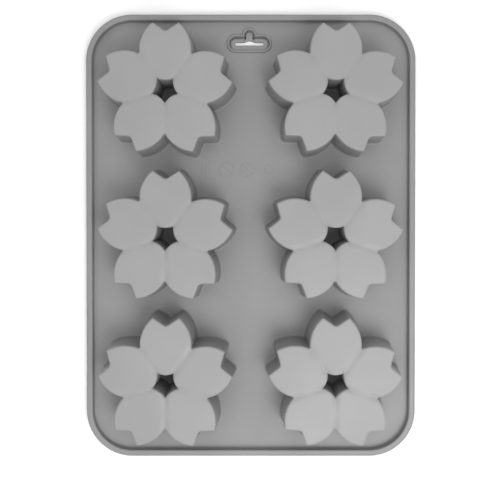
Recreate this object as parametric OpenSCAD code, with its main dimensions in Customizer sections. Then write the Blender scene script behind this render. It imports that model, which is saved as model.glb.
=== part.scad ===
// Six-cup silicone soap mould with cherry-blossom cups.
// It lies on its opening side: z = 0 is the open face that soap is poured into, the cups stand up
// along +Z, and the hang slot is at the +Y end. The origin is the middle of the footprint.
// The object is one moulding. Its nodes are the regions between which it bends and flexes.

/* [Plate] */
// Width of the plate, across the two columns of cups
plate_w = 175; // [174:1:190]
// Length of the plate, along the three rows of cups
plate_l = 235; // [234:1:250]
// Outer corner radius
corner_r = 24.5; // [10:0.5:30]
// Thickness of the plate
plate_t = 2; // [1.5:0.1:3]
// Width of the bead round the edge
rim_w = 3.4; // [2:0.1:4]
// Height of the bead above the opening side
rim_h = 6; // [4:0.5:8]

/* [Cup layout] */
// Distance from the middle line to each column of cups
column_x = 43.2; // [42:0.1:46]
// Distance between rows of cups
row_pitch = 74.7; // [73:0.1:76]
// Position of the middle row along Y
middle_row_y = 0; // [-1:0.1:0.5]
// Turn of each cup about its own middle, clockwise as seen from the cups' side, in degrees
cup_turn = 0.5; // [0:0.1:2]

/* [Cup] */
// Overall height of a cup above the opening side
cup_h = 25; // [18:1:35]
// Thickness of the cup's side wall
wall_t = 1.8; // [1.5:0.1:2.2]
// Thickness of the cup's petal floor
floor_t = 2; // [1.5:0.1:3]
// How much wider the wall's foot is than its top, as a ratio
draft_ratio = 1.035; // [1.01:0.005:1.04]

/* [Petal outline] */
// Radius of each side of a petal
side_r = 18.2; // [17.8:0.1:18.4]
// Sideways offset of a petal side's centre from the petal's middle line
side_x = 4.95; // [4.8:0.05:5.1]
// Distance from the flower's centre to the side centres, along the petal
side_y = 19.85; // [19.7:0.05:20]
// Distance from the flower's centre to the bottom of the notch in a petal's end
notch_y = 29.4; // [27:0.1:31]
// Half of the notch's opening angle, in degrees
notch_half = 56.3; // [45:0.1:65]

/* [Core] */
// Radius of the five arcs that bow the star's sides inwards
star_arc_r = 12; // [11.5:0.1:12.5]
// Distance from the flower's centre to the centres of those arcs
star_arc_y = 16.7; // [16.5:0.1:17]
// Thickness of the core's wall
core_t = 1.5; // [1.2:0.1:1.5]
// Outside radius that blunts the star's points
core_r = 8.2; // [8:0.1:8.4]
// Radius of the round of floor that is pressed in with the core
press_r = 9.5; // [9:0.1:10]
// Clearance between that round and the petal floor
press_gap = 0.3; // [0.2:0.05:0.5]
// Height of the core's closed end above the opening side
core_end_z = 0.5; // [0.2:0.1:2]

/* [Bending strips] */
// Width of each strip of plate that bends between two rows
web_w = 3.6; // [3:0.1:3.8]
// Middle of the strip above the middle row
upper_web_y = 38.8; // [38.6:0.05:39]
// Middle of the strip below the middle row
lower_web_y = -35.9; // [-36.1:0.05:-35.7]

/* [Hang slot] */
// Offset of the slot's middle from the plate's middle line
slot_x = -0.8; // [-2:0.1:2]
// Middle of the slot's bar along Y
slot_y = 102.7; // [101:0.1:103]
// Length of the raised lip, along its middle line
slot_w = 22.3; // [18:0.1:26]
// Width of the bar, along the lip's middle line
slot_h = 7.9; // [7.5:0.1:8.5]
// Radius of the round bump at the bar's middle
bump_r = 3.05; // [2.5:0.05:3.5]
// Distance from the bar's middle to the bump's centre
bump_y = 4.35; // [4:0.05:4.5]
// Distance from the lip's middle line in to the opening
ledge_w = 1.8; // [1:0.1:1.8]
// Width of the peak in the opening's upper side
peak_w = 5.8; // [4:0.1:8]
// Height of that peak
peak_h = 1.5; // [0.5:0.1:2.5]
// Width of the raised lip
lip_w = 0.7; // [0.5:0.1:1]
// Height of the raised lip above the plate
lip_h = 1.2; // [0.4:0.1:1.5]

/* [Marks] */
// Overall size of each mark
mark_d = 8.4; // [6:0.1:9]
// Distance between marks
mark_pitch = 11.2; // [9:0.1:11.5]
// Centre of the first mark
mark_x = -24.2; // [-25:0.1:-18]
// Centre line of the marks
mark_y = 35.4; // [34:0.1:35.5]
// Width of a mark's lines
mark_line = 0.7; // [0.5:0.1:1]
// Height of the marks above the plate
mark_h = 0.3; // [0.2:0.05:0.5]

/* [Hidden] */
$fn = 96;
petals = 5;
petal_turn = 360 / petals;
tint = "gray";
// The two sides of a petal cross its neighbour's at this distance from the flower's centre.
half_turn = petal_turn / 2;
junction_b = side_y * cos(half_turn) - side_x * sin(half_turn);
junction_r = junction_b + sqrt(junction_b * junction_b - side_y * side_y - side_x * side_x + side_r * side_r);
// Keeps the round that fills the flower's middle clear of the points where petals meet.
junction_gap = 0.05;
wall_h = cup_h - floor_t - plate_t;
// Scale of the outline at the wall's foot and head, measured against the cup's flat end
foot_scale = draft_ratio;
head_scale = 1 + (draft_ratio - 1) * floor_t / (cup_h - plate_t);
// Longer than any cut needs to be
past = 40;
rows = ["top", "middle", "bottom"];
sides = ["left", "right"];
cups = [for (row = rows) for (side = sides) str(row, "_", side)];

function row_y(row) = middle_row_y + (row == "top" ? row_pitch : row == "bottom" ? -row_pitch : 0);
function side_sign(side) = side == "left" ? -1 : 1;

// The band of the plate that a row of cups takes up, from one bending strip to the next
function band(row) =
    row == "top" ? [upper_web_y + web_w / 2, plate_l / 2] :
    row == "bottom" ? [-plate_l / 2, lower_web_y - web_w / 2] :
    [lower_web_y + web_w / 2, upper_web_y - web_w / 2];

module at_cup(row, side) {
    translate([side_sign(side) * column_x, row_y(row), 0])
        rotate(-cup_turn)
            children();
}

// --- Outlines ---

module rounded_outline(inset) {
    w = plate_w - 2 * inset;
    l = plate_l - 2 * inset;
    r = corner_r - inset;
    square([w, l - 2 * r], center = true);
    square([w - 2 * r, l], center = true);
    for (x = [-1, 1], y = [-1, 1])
        translate([x * (w / 2 - r), y * (l / 2 - r)])
            circle(r = r);
}

// What lies between y_range[0] and y_range[1]
module within(y_range) {
    intersection() {
        children();
        translate([-plate_w, y_range[0]])
            square([2 * plate_w, y_range[1] - y_range[0]]);
    }
}

module petal_outline(inset) {
    reach = 20;
    vertex = notch_y - inset / sin(notch_half);
    difference() {
        intersection() {
            translate([side_x, side_y])
                circle(r = side_r - inset);
            translate([-side_x, side_y])
                circle(r = side_r - inset);
        }
        polygon([
            [0, vertex],
            [reach * tan(notch_half), vertex + reach],
            [-reach * tan(notch_half), vertex + reach]
        ]);
    }
}

// The flower, with everything nearer to its edge than inset taken off
module flower_outline(inset = 0) {
    circle(r = junction_r - inset - junction_gap);
    for (i = [0 : petals - 1])
        rotate(i * petal_turn)
            petal_outline(inset);
}

// A star whose sides are arcs, grown outwards by a wall
module star_outline(grow = 0) {
    difference() {
        circle(r = core_r);
        for (i = [0 : petals - 1])
            rotate(i * petal_turn)
                translate([0, star_arc_y])
                    circle(r = star_arc_r - grow);
    }
}

// A bar with round ends, grown by grow from the lip's middle line
module slot_bar(grow) {
    r = slot_h / 2 + grow;
    centre_x = (slot_w - slot_h) / 2;
    translate([slot_x, slot_y]) {
        square([2 * centre_x, 2 * r], center = true);
        for (x = [-1, 1])
            translate([x * centre_x, 0])
                circle(r = r);
    }
}

module lip_outline(grow) {
    slot_bar(grow);
    translate([slot_x, slot_y + bump_y])
        circle(r = bump_r + grow);
}

// The bar with a low peak in its upper side
module slot_opening() {
    edge_y = slot_h / 2 - ledge_w;
    slot_bar(-ledge_w);
    translate([slot_x, slot_y])
        polygon([[-peak_w / 2, edge_y], [0, 0], [peak_w / 2, edge_y], [0, edge_y + peak_h]]);
}

// --- Plate ---

module panel(row) {
    mouth_scale = foot_scale + (draft_ratio - 1) * plate_t / (cup_h - plate_t) / 2;
    color(tint)
        difference() {
            linear_extrude(height = plate_t)
                within(band(row))
                    rounded_outline(0);
            for (side = sides)
                at_cup(row, side)
                    translate([0, 0, -past / 2])
                        linear_extrude(height = past)
                            scale(mouth_scale)
                                flower_outline(wall_t);
            if (row == "top")
                translate([0, 0, -past / 2])
                    linear_extrude(height = past)
                        slot_opening();
        }
}

module rim_ring(y_range) {
    translate([0, 0, plate_t])
        linear_extrude(height = rim_h - plate_t)
            within(y_range)
                difference() {
                    rounded_outline(0);
                    rounded_outline(rim_w);
                }
}

module rim(row) {
    color(tint)
        rim_ring(band(row));
}

module flex_web(centre_y) {
    y_range = [centre_y - web_w / 2, centre_y + web_w / 2];
    color(tint) {
        linear_extrude(height = plate_t)
            within(y_range)
                rounded_outline(0);
        rim_ring(y_range);
    }
}

// --- Cups ---

module cup_wall(row, side) {
    color(tint)
        at_cup(row, side)
            translate([0, 0, plate_t])
                linear_extrude(height = wall_h, scale = head_scale / foot_scale, slices = 1)
                    scale(foot_scale)
                        difference() {
                            flower_outline();
                            flower_outline(wall_t);
                        }
}

module cup_floor(row, side) {
    color(tint)
        at_cup(row, side)
            translate([0, 0, cup_h - floor_t])
                difference() {
                    linear_extrude(height = floor_t)
                        flower_outline();
                    translate([0, 0, -floor_t])
                        cylinder(r = press_r + press_gap, h = 3 * floor_t);
                }
}

// A hollow star that is open at the cup's outer end and closed at the opening side
module core(row, side) {
    color(tint)
        at_cup(row, side)
            difference() {
                union() {
                    translate([0, 0, core_end_z])
                        linear_extrude(height = cup_h - core_end_z)
                            star_outline(core_t);
                    translate([0, 0, cup_h - floor_t])
                        cylinder(r = press_r, h = floor_t);
                }
                translate([0, 0, core_end_z + core_t])
                    linear_extrude(height = cup_h)
                        star_outline();
            }
}

// --- Raised details ---

module hang_slot_lip() {
    color(tint)
        translate([0, 0, plate_t])
            linear_extrude(height = lip_h)
                difference() {
                    lip_outline(lip_w / 2);
                    lip_outline(-lip_w / 2);
                }
}

module mark_ring(d) {
    difference() {
        circle(d = d);
        circle(d = d - 2 * mark_line);
    }
}

// A ring with a number of slanted bars inside it
module barred_ring(d, bars) {
    mark_ring(d);
    intersection() {
        circle(d = d - mark_line);
        rotate(-45)
            for (i = [0 : bars - 1])
                translate([0, (i - (bars - 1) / 2) * 3 * mark_line])
                    square([d, mark_line], center = true);
    }
}

// Plain rings and bars, with no lettering
module care_marks() {
    color(tint)
        translate([mark_x, mark_y, plate_t])
            linear_extrude(height = mark_h) {
                for (x = [-1 : 1])
                    translate([x * mark_d / 4, 0])
                        square([mark_line, mark_d], center = true);
                translate([mark_pitch, 0])
                    barred_ring(mark_d, 1);
                translate([2 * mark_pitch, 0])
                    barred_ring(mark_d, 3);
                translate([3 * mark_pitch, 0])
                    mark_ring(mark_d * 0.6);
            }
}

panel("top");  // top_panel
panel("middle");  // middle_panel
panel("bottom");  // bottom_panel
flex_web(upper_web_y);  // upper_flex_web
flex_web(lower_web_y);  // lower_flex_web
rim("top");  // top_rim
rim("middle");  // middle_rim
rim("bottom");  // bottom_rim
hang_slot_lip();
care_marks();
for (row = rows, side = sides) {
    cup_wall(row, side);
    cup_floor(row, side);
    core(row, side);
}
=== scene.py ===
import math

import bmesh
import bpy
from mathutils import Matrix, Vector
from mathutils.geometry import delaunay_2d_cdt


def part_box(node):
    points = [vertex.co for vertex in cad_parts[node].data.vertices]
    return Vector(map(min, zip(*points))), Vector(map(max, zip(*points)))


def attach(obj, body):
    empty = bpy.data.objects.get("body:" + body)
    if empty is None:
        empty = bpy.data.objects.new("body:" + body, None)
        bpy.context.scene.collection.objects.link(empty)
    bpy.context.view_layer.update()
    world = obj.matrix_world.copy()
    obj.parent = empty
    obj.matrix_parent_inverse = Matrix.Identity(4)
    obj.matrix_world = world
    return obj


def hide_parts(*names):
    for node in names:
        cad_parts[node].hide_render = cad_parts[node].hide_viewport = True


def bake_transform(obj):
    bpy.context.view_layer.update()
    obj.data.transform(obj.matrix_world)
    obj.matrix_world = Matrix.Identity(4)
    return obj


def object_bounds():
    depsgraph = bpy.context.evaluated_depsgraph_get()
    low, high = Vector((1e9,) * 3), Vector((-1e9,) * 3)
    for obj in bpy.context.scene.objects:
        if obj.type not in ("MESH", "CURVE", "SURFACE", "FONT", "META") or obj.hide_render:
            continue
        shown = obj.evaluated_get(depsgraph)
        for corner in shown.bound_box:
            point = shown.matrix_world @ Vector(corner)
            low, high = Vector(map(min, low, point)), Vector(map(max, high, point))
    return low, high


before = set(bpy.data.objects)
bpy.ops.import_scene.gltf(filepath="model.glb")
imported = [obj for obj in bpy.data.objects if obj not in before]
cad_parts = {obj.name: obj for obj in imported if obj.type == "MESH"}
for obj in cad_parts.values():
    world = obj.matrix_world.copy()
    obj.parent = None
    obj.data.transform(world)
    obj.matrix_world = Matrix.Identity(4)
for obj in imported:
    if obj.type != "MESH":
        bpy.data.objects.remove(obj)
cad_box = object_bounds()

# The mould is one skin of silicone. It is built in millimetres and scaled to metres when each
# mesh is made. Five petal pieces make up each cup, and three skins make up the plate.
MM = 0.001
ROWS = ("top", "middle", "bottom")
SIDES = ("left", "right")
PETALS = 5
SECTOR = math.radians(360 / PETALS)
CUP_TURN = math.radians(-0.5)


def node_box(node):
    """A CAD node's lowest and highest corners, in millimetres."""
    low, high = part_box(node)
    return low / MM, high / MM


# Levels and places that come from the frame
half_w = cad_box[1].x / MM
half_l = cad_box[1].y / MM
cup_top = cad_box[1].z / MM
plate_top = node_box("middle_panel")[1].z
rim_top = node_box("middle_rim")[1].z
core_end = node_box("middle_left_core")[0].z
floor_under = node_box("middle_left_cup_floor")[0].z
lip_low, lip_high = node_box("hang_slot_lip")
upper_web = [corner.y for corner in node_box("upper_flex_web")]
lower_web = [corner.y for corner in node_box("lower_flex_web")]
mark_low, mark_high = node_box("care_marks")


def cup_centre(row, side):
    low, high = node_box(f"{row}_{side}_core")
    return (low.x + high.x) / 2, (low.y + high.y) / 2


# Petal outline: each side is an arc, the end is a notch with straight sides
SIDE_R = 18.2
SIDE_CENTRE = (-4.95, 19.85)
NOTCH_Y = 29.4
NOTCH_HALF = math.radians(56.3)
TIP_ROUND = 0.8
NOTCH_ROUND = 2.2
JUNCTION_ROUND = 0.4
# Where the petal's face starts, in from its edge
FACE_INSET = 2.6
# Star-shaped core: its sides bow inwards, and its points are blunted on the underside
STAR_ARC_R = 12.0
STAR_ARC_Y = 16.7
CORE_R = 8.2
CORE_WALL = 1.5
# Cup wall: thickness, how much wider its foot is than its top, and the flat ring at its foot
WALL = 1.8
DRAFT = 1.1
FLANGE = 0.1
# Rim and plate
CORNER_R = 24.5
RIM_W = 3.4
# The smallest radius that a corner is drawn with
SHARPEST = 0.02


# --- Camera, floor and light -------------------------------------------------------------------

def make_camera():
    data = bpy.data.cameras.new("camera")
    data.sensor_width = 36
    data.lens = 52.37
    data.shift_x = -0.0185
    data.shift_y = -0.0631
    camera = bpy.data.objects.new("camera", data)
    camera.location = (0.0045, 0.0137, 0.392)
    camera.rotation_euler = (math.radians(-0.65), 0, 0)
    bpy.context.scene.collection.objects.link(camera)
    bpy.context.scene.camera = camera


def make_floor():
    bpy.ops.mesh.primitive_plane_add(size=6, location=(0, 0, -0.0001))
    floor = bpy.context.object
    floor.name = "floor"
    material = bpy.data.materials.new("floor")
    material.use_nodes = True
    shader = material.node_tree.nodes["Principled BSDF"]
    shader.inputs["Base Color"].default_value = (0.93, 0.93, 0.93, 1)
    shader.inputs["Roughness"].default_value = 0.9
    floor.data.materials.append(material)


def area_light(name, location, target, size, power):
    data = bpy.data.lights.new(name, "AREA")
    data.shape = "DISK"
    data.size = size
    data.energy = power
    data.spread = math.radians(90)
    light = bpy.data.objects.new(name, data)
    light.location = location
    direction = Vector(target) - Vector(location)
    light.rotation_euler = direction.to_track_quat("-Z", "Y").to_euler()
    bpy.context.scene.collection.objects.link(light)


def make_light():
    world = bpy.data.worlds.new("studio")
    world.use_nodes = True
    tree = world.node_tree
    background = tree.nodes["Background"]
    background.inputs["Color"].default_value = (1, 1, 1, 1)
    # a soft dome, brightest part of the way up, with the camera's own dark patch straight above
    split = tree.nodes.new("ShaderNodeSeparateXYZ")
    tree.links.new(tree.nodes.new("ShaderNodeTexCoord").outputs["Generated"], split.inputs[0])
    dome = tree.nodes.new("ShaderNodeFloatCurve")
    curve = dome.mapping.curves[0]
    curve.points[0].location = (0.0, 0.5)
    curve.points[1].location = (1.0, 0.3)
    for height, strength in ((0.5, 0.24), (0.7, 0.46), (0.85, 0.7), (0.95, 0.84), (0.985, 0.62)):
        curve.points.new(height, strength)
    dome.mapping.update()
    tree.links.new(split.outputs["Z"], dome.inputs["Value"])
    tree.links.new(ramp(tree, dome.outputs["Value"], 0.0, 2.0), background.inputs["Strength"])
    bpy.context.scene.world = world
    area_light("key", (0.16, -0.26, 0.5), (0.04, -0.08, 0), 0.32, 0.38)
    bpy.context.scene.view_settings.view_transform = "Standard"


# --- Material ----------------------------------------------------------------------------------

def new_node(tree, kind, **inputs):
    node = tree.nodes.new(kind)
    for name, value in inputs.items():
        node.inputs[name.replace("_", " ")].default_value = value
    return node


def ramp(tree, source, low, high, start=0.0, end=1.0):
    """A linear map of source, from start..end to low..high."""
    node = new_node(tree, "ShaderNodeMapRange")
    node.inputs["From Min"].default_value = start
    node.inputs["From Max"].default_value = end
    node.inputs["To Min"].default_value = low
    node.inputs["To Max"].default_value = high
    tree.links.new(source, node.inputs["Value"])
    return node.outputs["Result"]


def silicone_material():
    """Matte grey silicone: faint mottling, a fine moulded grain and slightly uneven gloss.

    Its colour is painted darker low down and paler towards the cups' ends: painted shade on the
    plate, rim and walls' feet, and a painted lighter tone on the cups' ends.
    """
    material = bpy.data.materials.new("silicone_grey")
    material.use_nodes = True
    tree = material.node_tree
    shader = tree.nodes["Principled BSDF"]
    place = tree.nodes.new("ShaderNodeTexCoord").outputs["Object"]

    def noise(scale, detail, rough=0.5):
        node = new_node(tree, "ShaderNodeTexNoise", Scale=scale, Detail=detail, Roughness=rough)
        tree.links.new(place, node.inputs["Vector"])
        return node.outputs["Fac"]

    cloud = noise(28, 3)
    speck = noise(900, 2)
    grain = noise(2600, 3, 0.6)
    blend = tree.nodes.new("ShaderNodeMix")
    blend.data_type = "RGBA"
    blend.inputs["A"].default_value = (0.27, 0.27, 0.27, 1)
    blend.inputs["B"].default_value = (0.305, 0.305, 0.305, 1)
    mottle = tree.nodes.new("ShaderNodeMath")
    mottle.operation = "MULTIPLY_ADD"
    mottle.inputs[1].default_value = 0.25
    tree.links.new(speck, mottle.inputs[0])
    tree.links.new(ramp(tree, cloud, 0.1, 0.75, 0.3, 0.7), mottle.inputs[2])
    tree.links.new(mottle.outputs["Value"], blend.inputs["Factor"])
    split = tree.nodes.new("ShaderNodeSeparateXYZ")
    tree.links.new(place, split.inputs[0])
    # painted shade and light: the base colour is scaled from 0.84 at the rim's top and below up to
    # 1.0 at the cups' ends
    painted_height_shade = ramp(tree, split.outputs["Z"], 0.84, 1.0, rim_top * MM, cup_top * MM)
    tone = tree.nodes.new("ShaderNodeVectorMath")
    tone.operation = "SCALE"
    tree.links.new(blend.outputs["Result"], tone.inputs[0])
    tree.links.new(painted_height_shade, tone.inputs["Scale"])
    tree.links.new(tone.outputs["Vector"], shader.inputs["Base Color"])
    tree.links.new(ramp(tree, cloud, 0.5, 0.4, 0.3, 0.7), shader.inputs["Roughness"])
    height = new_node(tree, "ShaderNodeBump", Strength=0.12, Distance=0.00004)
    tree.links.new(grain, height.inputs["Height"])
    waves = new_node(tree, "ShaderNodeBump", Strength=0.35, Distance=0.00012)
    tree.links.new(noise(60, 2), waves.inputs["Height"])
    tree.links.new(height.outputs["Normal"], waves.inputs["Normal"])
    tree.links.new(waves.outputs["Normal"], shader.inputs["Normal"])
    shader.inputs["Specular IOR Level"].default_value = 0.35
    return material


# --- Outline mathematics, in millimetres -------------------------------------------------------

def arc(centre, radius, start, end, count):
    """Points on an arc from angle start to angle end, both ends included."""
    steps = [start + (end - start) * i / (count - 1) for i in range(count)]
    return [(centre[0] + radius * math.cos(a), centre[1] + radius * math.sin(a)) for a in steps]


def angle_of(point, centre):
    return math.atan2(point[1] - centre[1], point[0] - centre[0])


def ray_circle(angle, centre, radius):
    """How far along a ray from the origin, at angle from +Y towards +X, it leaves a circle."""
    ray = (math.sin(angle), math.cos(angle))
    along = ray[0] * centre[0] + ray[1] * centre[1]
    return along + math.sqrt(along ** 2 - centre[0] ** 2 - centre[1] ** 2 + radius ** 2)


def half_petal(grow):
    """The petal's right side, from the crease between petals to the notch, grown by grow."""
    half = SECTOR / 2
    ray = (math.sin(half), math.cos(half))
    notch_dir = (math.sin(NOTCH_HALF), math.cos(NOTCH_HALF))
    notch_out = (-notch_dir[1], notch_dir[0])
    radius = SIDE_R + grow
    # the soft inner corner between two petals
    soft = max(JUNCTION_ROUND - grow, SHARPEST)
    far = ray_circle(half, SIDE_CENTRE, radius + soft)
    corner = (ray[0] * far, ray[1] * far)
    joined = angle_of(corner, SIDE_CENTRE)
    touch = (SIDE_CENTRE[0] + radius * math.cos(joined),
             SIDE_CENTRE[1] + radius * math.sin(joined))
    first = math.atan2(-ray[1], -ray[0]) % (2 * math.pi)
    last = angle_of(touch, corner) % (2 * math.pi)
    points = arc(corner, soft, first, last, 5)
    # the petal's side
    blunt = max(TIP_ROUND + grow, SHARPEST)
    offset = NOTCH_Y * notch_out[1] + grow - blunt
    gap = SIDE_CENTRE[0] * notch_out[0] + SIDE_CENTRE[1] * notch_out[1] - offset
    reach = math.sqrt((radius - blunt) ** 2 - gap ** 2)
    tip = (SIDE_CENTRE[0] - gap * notch_out[0] + reach * notch_dir[0],
           SIDE_CENTRE[1] - gap * notch_out[1] + reach * notch_dir[1])
    tip_angle = angle_of(tip, SIDE_CENTRE)
    points += arc(SIDE_CENTRE, radius, joined, tip_angle, 15)[1:]
    # the petal's tip
    points += arc(tip, blunt, tip_angle, math.atan2(notch_out[1], notch_out[0]), 7)[1:]
    # the notch
    soft = max(NOTCH_ROUND - grow, SHARPEST)
    bottom = (0.0, NOTCH_Y + (grow + soft) / notch_out[1])
    start = points[-1]
    end = (bottom[0] - notch_out[0] * soft, bottom[1] - notch_out[1] * soft)
    points += [(start[0] + (end[0] - start[0]) * i / 5, start[1] + (end[1] - start[1]) * i / 5)
               for i in range(1, 6)]
    points += arc(bottom, soft, angle_of(end, bottom), -math.pi / 2, 6)[1:]
    return points


def petal_ring(grow):
    """The whole petal's outline, from its right crease round to its left one."""
    right = half_petal(grow)
    return right + [(-x, y) for x, y in reversed(right[:-1])]


STAR_ANGLES = [math.atan2(x, y) for x, y in petal_ring(-FACE_INSET)]


def star_radius(angle, grow, limit=None):
    """The star's reach at an angle from +Y, softly held below limit."""
    reach = STAR_ARC_R - grow
    across = STAR_ARC_Y * math.sin(angle)
    radius = STAR_ARC_Y * math.cos(angle) - math.sqrt(max(reach ** 2 - across ** 2, 0))
    if limit is None:
        return radius
    return -math.log(math.exp(-3 * radius) + math.exp(-3 * limit)) / 3


def star_ring(grow, limit=None):
    return [(star_radius(a, grow, limit) * math.sin(a), star_radius(a, grow, limit) * math.cos(a))
            for a in STAR_ANGLES]


def between_rings(outer, inner, share):
    """Points part of the way from outer to inner, along the same rays."""
    out = []
    for (x0, y0), (x1, y1) in zip(outer, inner):
        out.append((x0 + (x1 - x0) * share, y0 + (y1 - y0) * share))
    return out


def turned(point, angle, centre):
    c, s = math.cos(angle), math.sin(angle)
    return point[0] * c - point[1] * s + centre[0], point[0] * s + point[1] * c + centre[1]


# --- Mesh helpers ------------------------------------------------------------------------------

SILICONE = silicone_material()
# Points nearer than this are one point
WELD = 0.002
# Edges sharper than this stay crisp
CRISP = math.radians(50)


def weld(mesh):
    """Join points that lie together and turn every face outwards."""
    solid = bmesh.new()
    solid.from_mesh(mesh)
    bmesh.ops.remove_doubles(solid, verts=solid.verts, dist=WELD * MM)
    bmesh.ops.dissolve_degenerate(solid, edges=solid.edges, dist=WELD * MM)
    bmesh.ops.recalc_face_normals(solid, faces=solid.faces)
    solid.to_mesh(mesh)
    solid.free()


def make_piece(name, vertices, faces, welded=False):
    """A smooth-shaded piece with crisp edges, from points in millimetres."""
    mesh = bpy.data.meshes.new(name)
    mesh.from_pydata([(x * MM, y * MM, z * MM) for x, y, z in vertices], [], faces)
    if welded:
        weld(mesh)
    mesh.validate()
    mesh.polygons.foreach_set("use_smooth", [True] * len(mesh.polygons))
    mesh.set_sharp_from_angle(angle=CRISP)
    mesh.materials.append(SILICONE)
    piece = bpy.data.objects.new(name, mesh)
    bpy.context.scene.collection.objects.link(piece)
    return piece


def quarter(count):
    """Sine and 1 - cosine over a quarter turn, for rounding an edge."""
    return [(math.sin(math.pi / 2 * i / count), 1 - math.cos(math.pi / 2 * i / count))
            for i in range(count + 1)]


# --- Cups --------------------------------------------------------------------------------------

# Roundings: the wall's foot, the petal's edge, the well's mouth and floor, the cavity's mouth
# and its inner corners
FOOT_ROUND = 1.1
EDGE_ROUND = 1.0
STAR_ROUND = 0.9
WELL_ROUND = 0.6
MOUTH_ROUND = 0.5
INNER_ROUND = 0.8
FLANGE_GROW = DRAFT + FOOT_ROUND + FLANGE
# How deep the well's mouth goes, and how much the core narrows
WELL_MOUTH = 1.4
CORE_DRAFT = 0.3
# Depth of the creases between petals, and how far the petals' ends fall away
CREASE = 0.6
CROWN = 0.8
CROWN_R = 34


def draft_at(z):
    return DRAFT * (cup_top - z) / (cup_top - plate_top)


def petal_height(x, y):
    """How far a petal's face lies below the cup's highest level."""
    r = math.hypot(x, y)
    from_crease = r * math.sin(max(SECTOR / 2 - abs(math.atan2(x, y)), 0))
    near_star = math.exp(-((r - 7.0) / 4.5) ** 2)
    near_edge = math.exp(-((r - 22.0) / 4.5) ** 2)
    depth = CREASE * (0.25 + 0.75 * max(near_star, near_edge))
    crease = depth * math.exp(-(from_crease / 1.5) ** 2)
    return crease + CROWN * (r / CROWN_R) ** 2


def petal_top(ring, drop=0.0):
    return [(x, y, cup_top - petal_height(x, y) - drop) for x, y in ring]


def flat(ring, z):
    return [(x, y, z) for x, y in ring]


def outside_rings():
    """From the flange, up the wall, over the petal's face and down the star-shaped well."""
    rings = [flat(petal_ring(FLANGE_GROW), plate_top)]
    foot = draft_at(plate_top)
    for s, c in quarter(4):
        rings.append(flat(petal_ring(foot + FOOT_ROUND * (1 - s)), plate_top + FOOT_ROUND * c))
    wall_low, wall_high = plate_top + FOOT_ROUND, cup_top - CROWN - EDGE_ROUND
    for i in range(1, 6):
        z = wall_low + (wall_high - wall_low) * i / 5
        rings.append(flat(petal_ring(foot * (1 - i / 5)), z))
    for s, c in quarter(4)[1:]:
        ring = petal_ring(-EDGE_ROUND * c)
        rings.append(petal_top(ring, EDGE_ROUND * (1 - s)))
    for inset in (EDGE_ROUND, 1.6, FACE_INSET):
        rings.append(petal_top(petal_ring(-inset)))
    outer, inner = petal_ring(-FACE_INSET), star_ring(STAR_ROUND)
    steps = 14
    for i in range(1, steps + 1):
        rings.append(petal_top(between_rings(outer, inner, i / steps)))
    for s, c in quarter(4)[1:]:
        ring = star_ring(STAR_ROUND * (1 - s))
        rings.append(petal_top(ring, STAR_ROUND * c))
    well_top, well_bottom = cup_top - WELL_MOUTH, core_end + CORE_WALL
    for i in range(1, 7):
        z = well_top + (well_bottom + WELL_ROUND - well_top) * i / 6
        rings.append(flat(star_ring(-WELL_ROUND * i / 6), z))
    for s, c in quarter(3)[1:]:
        ring = star_ring(-WELL_ROUND * (1 + c))
        rings.append(flat(ring, well_bottom + WELL_ROUND * (1 - s)))
    last = star_ring(-2 * WELL_ROUND)
    rings.append(flat([(x * 0.5, y * 0.5) for x, y in last], well_bottom))
    return rings


def inside_rings():
    """From the flange's underside, up into the cavity and down round the core."""
    rings = [flat(petal_ring(FLANGE_GROW), 0.0)]
    base = draft_at(0) - WALL
    for s, c in quarter(3):
        rings.append(flat(petal_ring(base + MOUTH_ROUND * (1 - s)), MOUTH_ROUND * c))
    wall_high = floor_under - INNER_ROUND
    for i in range(1, 5):
        z = MOUTH_ROUND + (wall_high - MOUTH_ROUND) * i / 4
        rings.append(flat(petal_ring(draft_at(z) - WALL), z))
    top = draft_at(wall_high) - WALL
    for s, c in quarter(4)[1:]:
        rings.append(flat(petal_ring(top - INNER_ROUND * c), wall_high + INNER_ROUND * s))

    def core_ring(grow):
        return star_ring(CORE_WALL + grow, CORE_R + grow)

    outer, inner = petal_ring(top - INNER_ROUND), core_ring(INNER_ROUND)
    steps = 8
    for i in range(1, steps + 1):
        rings.append(flat(between_rings(outer, inner, i / steps), floor_under))
    for s, c in quarter(3)[1:]:
        rings.append(flat(core_ring(INNER_ROUND * (1 - s)), floor_under - INNER_ROUND * c))
    core_high, core_low = wall_high, core_end + INNER_ROUND
    for i in range(1, 5):
        z = core_high + (core_low - core_high) * i / 4
        rings.append(flat(core_ring(-CORE_DRAFT * i / 4), z))
    for s, c in quarter(3)[1:]:
        ring = core_ring(-CORE_DRAFT - INNER_ROUND * c)
        rings.append(flat(ring, core_end + INNER_ROUND * (1 - s)))
    last = core_ring(-CORE_DRAFT - INNER_ROUND)
    rings.append(flat([(x * 0.5, y * 0.5) for x, y in last], core_end))
    return rings


def petal_mesh():
    """One closed fifth of a cup, with its petal along +Y: (points, faces)."""
    outside, inside = outside_rings(), inside_rings()
    count = len(outside[0])
    points, faces = [], []

    def add(rings, tip_z, flip):
        base = len(points)
        for ring in rings:
            points.extend(ring)
        points.append((0.0, 0.0, tip_z))
        tip = len(points) - 1
        for r in range(len(rings) - 1):
            for i in range(count - 1):
                a = base + r * count + i
                quad = (a, a + 1, a + 1 + count, a + count)
                faces.append(quad if flip else quad[::-1])
        a = base + (len(rings) - 1) * count
        for i in range(count - 1):
            fan = (a + i, a + i + 1, tip)
            faces.append(fan if flip else fan[::-1])
        return base, tip

    out_base, out_tip = add(outside, outside[-1][0][2], True)
    in_base, in_tip = add(inside, inside[-1][0][2], False)
    for i in range(count - 1):
        faces.append((out_base + i, in_base + i, in_base + i + 1, out_base + i + 1))
    for i, flip in ((0, False), (count - 1, True)):
        side = [out_base + r * count + i for r in range(len(outside))] + [out_tip, in_tip]
        side += [in_base + r * count + i for r in reversed(range(len(inside)))]
        faces.append(side[::-1] if flip else side)
    return points, faces


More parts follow.
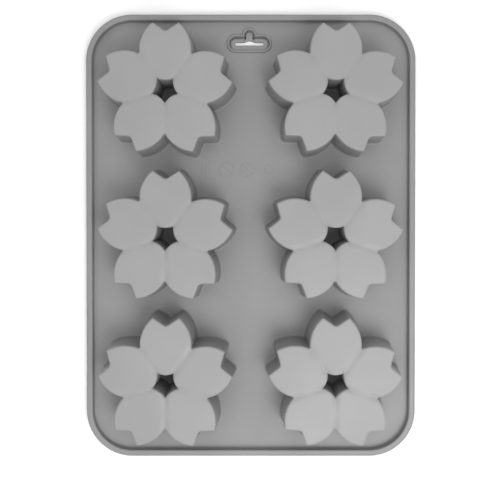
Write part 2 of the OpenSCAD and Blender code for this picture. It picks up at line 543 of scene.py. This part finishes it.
def make_cups():
    """Thirty petals, five round each cup's centre, in place of its wall, floor and core."""
    points, faces = petal_mesh()
    parts = ("cup_wall", "cup_floor", "core")
    for row in ROWS:
        for side in SIDES:
            centre = cup_centre(row, side)
            for k in range(PETALS):
                angle = k * SECTOR + CUP_TURN
                placed = [(*turned((x, y), angle, centre), z) for x, y, z in points]
                petal = make_piece(f"{row}_{side}_petal_{k + 1}", placed, faces)
                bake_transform(petal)
                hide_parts(*[f"{row}_{side}_{part}" for part in parts])


def cup_hole(row, side):
    """The outline at which a cup's flange meets the plate, without its last point."""
    centre = cup_centre(row, side)
    points = []
    for k in range(PETALS):
        points += [turned(p, k * SECTOR + CUP_TURN, centre) for p in petal_ring(FLANGE_GROW)[:-1]]
    return points


# --- Plate -------------------------------------------------------------------------------------

# Steps across a bending strip
WEB_STEPS = 8


def rim_profile():
    """(distance in from the outer edge, height), from the underside round to the plate's top."""
    low, outer, inner, foot = 0.6, 1.3, 0.7, 1.0
    points = [(low * (1 - s), low * c) for s, c in quarter(3)]
    points += [(outer * c, rim_top - outer + outer * s) for s, c in quarter(5)]
    points += [(RIM_W - inner * (1 - s), rim_top - inner * c) for s, c in quarter(4)]
    points += [(RIM_W + foot * c, plate_top + foot * (1 - s)) for s, c in quarter(4)]
    return points


def outline_stations(y_low, y_high):
    """(x, y, inward x, inward y) round the plate's outline between two levels, as open runs."""
    corner_y = half_l - CORNER_R
    levels = web_levels(upper_web) + web_levels(lower_web)
    straight = sorted({y_low, y_high, *levels, *(-y for y in levels)})
    side = [y for y in straight if y_low - 1e-6 <= y <= y_high + 1e-6 and abs(y) < corner_y]
    right = [(half_w, y, -1.0, 0.0) for y in side]
    if y_high > corner_y:
        steps = 28
        cx = half_w - CORNER_R
        turn = [math.pi / 2 * i / steps for i in range(steps + 1)]
        first = [(cx + CORNER_R * math.cos(a), corner_y + CORNER_R * math.sin(a),
                  -math.cos(a), -math.sin(a)) for a in turn]
        second = [(-x, y, -nx, ny) for x, y, nx, ny in reversed(first)]
        return [right + first + second + [(-x, y, -nx, ny) for x, y, nx, ny in reversed(right)]]
    left = [(-x, y, -nx, ny) for x, y, nx, ny in reversed(right)]
    return [right, left]


def web_levels(web):
    return [web[0] + (web[1] - web[0]) * i / WEB_STEPS for i in range(WEB_STEPS + 1)]


def inside_loop(x, y, loop):
    hit = False
    for (x1, y1), (x2, y2) in zip(loop, loop[1:] + loop[:1]):
        if (y1 > y) != (y2 > y) and x < (x2 - x1) * (y - y1) / (y2 - y1) + x1:
            hit = not hit
    return hit


def fill(outer, holes, lines):
    """Triangles that fill outer, less the holes, with the given lines kept as edges."""
    points, edges = [], []
    for loop in [outer] + holes:
        base = len(points)
        points += [Vector(p[:2]) for p in loop]
        edges += [(base + i, base + (i + 1) % len(loop)) for i in range(len(loop))]
    for a, b in lines:
        base = len(points)
        points += [Vector(a), Vector(b)]
        edges.append((base, base + 1))
    made, _, faces, _, _, _ = delaunay_2d_cdt(points, edges, [], 0, 1e-5)
    kept = []
    for face in faces:
        x = sum(made[i].x for i in face) / len(face)
        y = sum(made[i].y for i in face) / len(face)
        if inside_loop(x, y, outer) and not any(inside_loop(x, y, hole) for hole in holes):
            kept.append(face)
    return [(p.x, p.y) for p in made], kept


class Skin:
    """Collects one plate skin's points and faces, joining points that lie together."""

    def __init__(self):
        self.points, self.faces, self.index = [], [], {}

    def point(self, x, y, z):
        key = (round(x, 4), round(y, 4), round(z, 4))
        if key not in self.index:
            self.index[key] = len(self.points)
            self.points.append((x, y, z))
        return self.index[key]

    def face(self, corners):
        ids = [self.point(*c) for c in corners]
        ids = [a for i, a in enumerate(ids) if a != ids[i - 1]]
        if len(ids) > 2:
            self.faces.append(ids)

    def strip(self, first, second, closed=False):
        count = len(first)
        for i in range(count if closed else count - 1):
            j = (i + 1) % count
            self.face((first[i], first[j], second[j], second[i]))

    def sheet(self, outer, holes, lines, z, up):
        points, faces = fill([p[:2] for p in outer], holes, lines)
        for face in faces:
            corners = [(*points[i], z) for i in face]
            pairs = zip(corners, corners[1:] + corners[:1])
            area = sum(a[0] * b[1] - b[0] * a[1] for a, b in pairs)
            if (area > 0) != up:
                corners.reverse()
            self.face(corners)


# Middle line of the slot's lip: a bar with round ends and a round bump on its upper side
SLOT_X = (lip_low.x + lip_high.x) / 2
SLOT_Y = lip_low.y + 4.3
LIP_BAR = 3.95
LIP_END = 7.2
BUMP_R = 3.05
BUMP_Y = 4.35
BUMP_SOFT = 0.35
# The opening: a thin bar with a low peak
OPENING_END = 6.9
OPENING_HALF = 0.8
PEAK = 1.1
PEAK_HALF = 2.9
LEDGE_Z = 1.5
GROOVE_Z = 0.3


def lip_ring(grow):
    """The hang slot's outline, grown by grow from the middle of its lip."""
    bar, bump = LIP_BAR + grow, BUMP_R + grow
    foot = bump + BUMP_SOFT
    points = arc((0, BUMP_Y), bump, math.pi / 2, math.pi, 9)
    points += arc((-foot, bar + BUMP_SOFT), BUMP_SOFT, 0, -math.pi / 2, 4)
    points += [(-foot - (LIP_END - foot) * i / 4, bar) for i in range(1, 4)]
    points += arc((-LIP_END, 0), bar, math.pi / 2, math.pi * 3 / 2, 17)
    points += [(-LIP_END + LIP_END * i / 6, -bar) for i in range(1, 6)]
    points.append((0.0, -bar))
    points += [(-x, y) for x, y in reversed(points[1:-1])]
    return [(x + SLOT_X, y + SLOT_Y) for x, y in points]


def opening_ring(half):
    """The through opening: the lip's own points drawn in to a thin bar with a low peak."""
    out = []
    for x, y in lip_ring(0):
        dx, dy = x - SLOT_X, y - SLOT_Y
        if abs(dx) > OPENING_END:
            side = math.copysign(OPENING_END, dx)
            angle = math.atan2(dy, dx - side)
            px, py = side + half * math.cos(angle), half * math.sin(angle)
        else:
            rise = PEAK * max(0.0, 1 - abs(dx) / PEAK_HALF)
            px, py = dx, (half + rise if dy > 0 else -half)
        out.append((px + SLOT_X, py + SLOT_Y))
    return out


def add_slot(skin):
    """The raised lip, a groove, the ledge inside it and the opening; returns the plate's holes."""
    lip_z = lip_high.z

    def sunk(ring, z):
        """A groove that is deep above the opening and round its ends, and shallow below it."""
        out = []
        for x, y in ring:
            share = min(max((y - SLOT_Y + 3.0) / 2.5, 0.0), 1.0)
            out.append((x, y, LEDGE_Z + (z - LEDGE_Z) * share))
        return out

    # (distance out from the lip's middle line, height): up the flank, over, into the groove
    section = ((1.2, plate_top), (1.05, plate_top + 0.05), (0.95, plate_top + 0.2),
               (0.68, lip_z - 0.2), (0.58, lip_z - 0.06), (0.42, lip_z), (0.0, lip_z),
               (-0.14, lip_z - 0.06), (-0.22, lip_z - 0.2))
    groove = ((-0.5, GROOVE_Z + 0.2), (-0.6, GROOVE_Z), (-0.85, GROOVE_Z), (-0.95, GROOVE_Z + 0.2),
              (-1.15, LEDGE_Z - 0.25), (-1.2, LEDGE_Z - 0.08), (-1.35, LEDGE_Z))
    # (distance out from the opening's edge, depth below the ledge)
    edge = ((0.35, 0.0), (0.15, 0.1), (0.0, 0.35))
    opening = opening_ring(OPENING_HALF)
    rings = [flat(lip_ring(out), z) for out, z in section]
    rings += [sunk(lip_ring(out), z) for out, z in groove]
    rings += [flat(opening_ring(OPENING_HALF + out), LEDGE_Z - down) for out, down in edge]
    rings.append(flat(opening, 0.0))
    for a, b in zip(rings, rings[1:]):
        skin.strip(a, b, closed=True)
    return lip_ring(section[0][0]), opening


def plate_skin(name, y_low, y_high, rows, web):
    """The plate and its rim between two levels of y, with holes for the cups of its rows."""
    skin = Skin()
    profile = rim_profile()
    runs = outline_stations(y_low, y_high)
    if y_high < 0:
        runs = [[(-x, -y, -nx, -ny) for x, y, nx, ny in run]
                for run in outline_stations(-y_high, -y_low)]
    loops = []
    for run in runs:
        lines = [[(x + nx * d, y + ny * d, z) for x, y, nx, ny in run] for d, z in profile]
        for a, b in zip(lines, lines[1:]):
            skin.strip(a, b)
        loops.append(lines)
    top_outer = [p for lines in loops for p in lines[-1]]
    low_outer = [p for lines in loops for p in lines[0]]
    holes = [cup_hole(row, side) for row in rows for side in SIDES]
    top_holes, low_holes = list(holes), list(holes)
    if "top" in rows:
        lip, edge = add_slot(skin)
        top_holes.append(lip)
        low_holes.append(edge)
    levels = web_levels(web)[1:-1] if web else []
    for outer, inner_holes, z, up in ((top_outer, top_holes, plate_top, True),
                                      (low_outer, low_holes, 0.0, False)):
        x = max(p[0] for p in outer)
        lines = [((-x, y), (x, y)) for y in levels]
        if web:
            edge_y = web[1] if y_high > 0 else web[0]
            lines.append(((-x, edge_y), (x, edge_y)))
        skin.sheet(outer, inner_holes, lines, z, up)
    # the cups' flanges stand against these faces
    for hole in holes:
        skin.strip(flat(hole, 0.0), flat(hole, plate_top), closed=True)
    # the ends that meet the next skin
    right, left = loops[0], loops[-1]
    ends = [(0, -1)] if len(loops) == 1 else [(0, -1), (-1, 0)]
    for first, last in ends:
        section = [line[first] for line in right] + [line[last] for line in reversed(left)]
        skin.face(section)
    return make_piece(name, skin.points, skin.faces, welded=True)


def make_plate():
    """Three skins; the outer two take in the strips between the rows."""
    middle = plate_skin("middle_plate_skin", lower_web[1], upper_web[0], ["middle"], None)
    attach(middle, "middle_row")
    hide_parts("middle_panel", "middle_rim")
    top = plate_skin("top_plate_skin", upper_web[0], half_l, ["top"], upper_web)
    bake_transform(top)
    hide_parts("top_panel", "top_rim", "upper_flex_web", "hang_slot_lip")
    bottom = plate_skin("bottom_plate_skin", -half_l, lower_web[1], ["bottom"], lower_web)
    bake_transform(bottom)
    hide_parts("bottom_panel", "bottom_rim", "lower_flex_web")


# --- Relief marks ------------------------------------------------------------------------------

# Distance between the marks, and the width of their lines
MARK_PITCH = 11.2
MARK_LINE = 0.7
# (distance out from a line's edge, height over the plate), from its sunk foot to its crown
MARK_SECTION = ((0.0, -0.05), (-0.04, 0.05), (-0.13, 0.1), (-0.25, 0.12))


def mark_ring(points, faces, centre, radius):
    """A low rounded ring with its outer edge at radius."""
    outer = [(radius + g, z) for g, z in MARK_SECTION]
    profile = outer + [(2 * radius - MARK_LINE - r, z) for r, z in reversed(outer)]
    count, base = 56, len(points)
    for r, z in profile:
        for i in range(count):
            a = 2 * math.pi * i / count
            x, y = centre[0] + r * math.cos(a), centre[1] + r * math.sin(a)
            points.append((x, y, plate_top + z))
    for k in range(len(profile)):
        low, high = base + k * count, base + (k + 1) % len(profile) * count
        for i in range(count):
            j = (i + 1) % count
            faces.append((low + i, low + j, high + j, high + i))


def mark_bar(points, faces, centre, angle, length):
    """A low rounded bar of this length, its ends round."""
    base, half = len(points), length / 2 - MARK_LINE / 2
    for g, z in MARK_SECTION:
        end = arc((half, 0), MARK_LINE / 2 + g, -math.pi / 2, math.pi / 2, 7)
        ring = end + [(-x, -y) for x, y in end]
        points.extend((*turned(p, angle, centre), plate_top + z) for p in ring)
    count = len(ring)
    for k in range(len(MARK_SECTION) - 1):
        for i in range(count):
            j = (i + 1) % count
            a, b = base + k * count, base + (k + 1) * count
            faces.append((a + i, a + j, b + j, b + i))
    top = base + (len(MARK_SECTION) - 1) * count
    faces.append(tuple(range(top, top + count)))
    faces.append(tuple(reversed(range(base, base + count))))


def make_marks():
    """Plain rings and bars, with no lettering."""
    points, faces = [], []
    size, y = mark_high.y - mark_low.y, (mark_low.y + mark_high.y) / 2
    first = mark_low.x + size / 4 + MARK_LINE / 2
    for k in (-1, 0, 1):
        mark_bar(points, faces, (first + k * size / 4, y), math.pi / 2, size)
    inner = size / 2 - MARK_LINE - 0.05
    for place, shifts in ((1, (0,)), (2, (-3, 0, 3))):
        centre = (first + place * MARK_PITCH, y)
        mark_ring(points, faces, centre, size / 2)
        for k in shifts:
            off = k * MARK_LINE
            length = 2 * math.sqrt(inner ** 2 - (abs(off) + MARK_LINE / 2) ** 2) + 0.1
            middle = turned((0, off), -math.pi / 4, centre)
            mark_bar(points, faces, middle, -math.pi / 4, length)
    mark_ring(points, faces, (first + 3 * MARK_PITCH, y), size * 0.3)
    marks = make_piece("relief_marks", points, faces)
    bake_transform(marks)
    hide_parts("care_marks")


make_camera()
make_floor()
make_light()
make_cups()
make_plate()
make_marks()
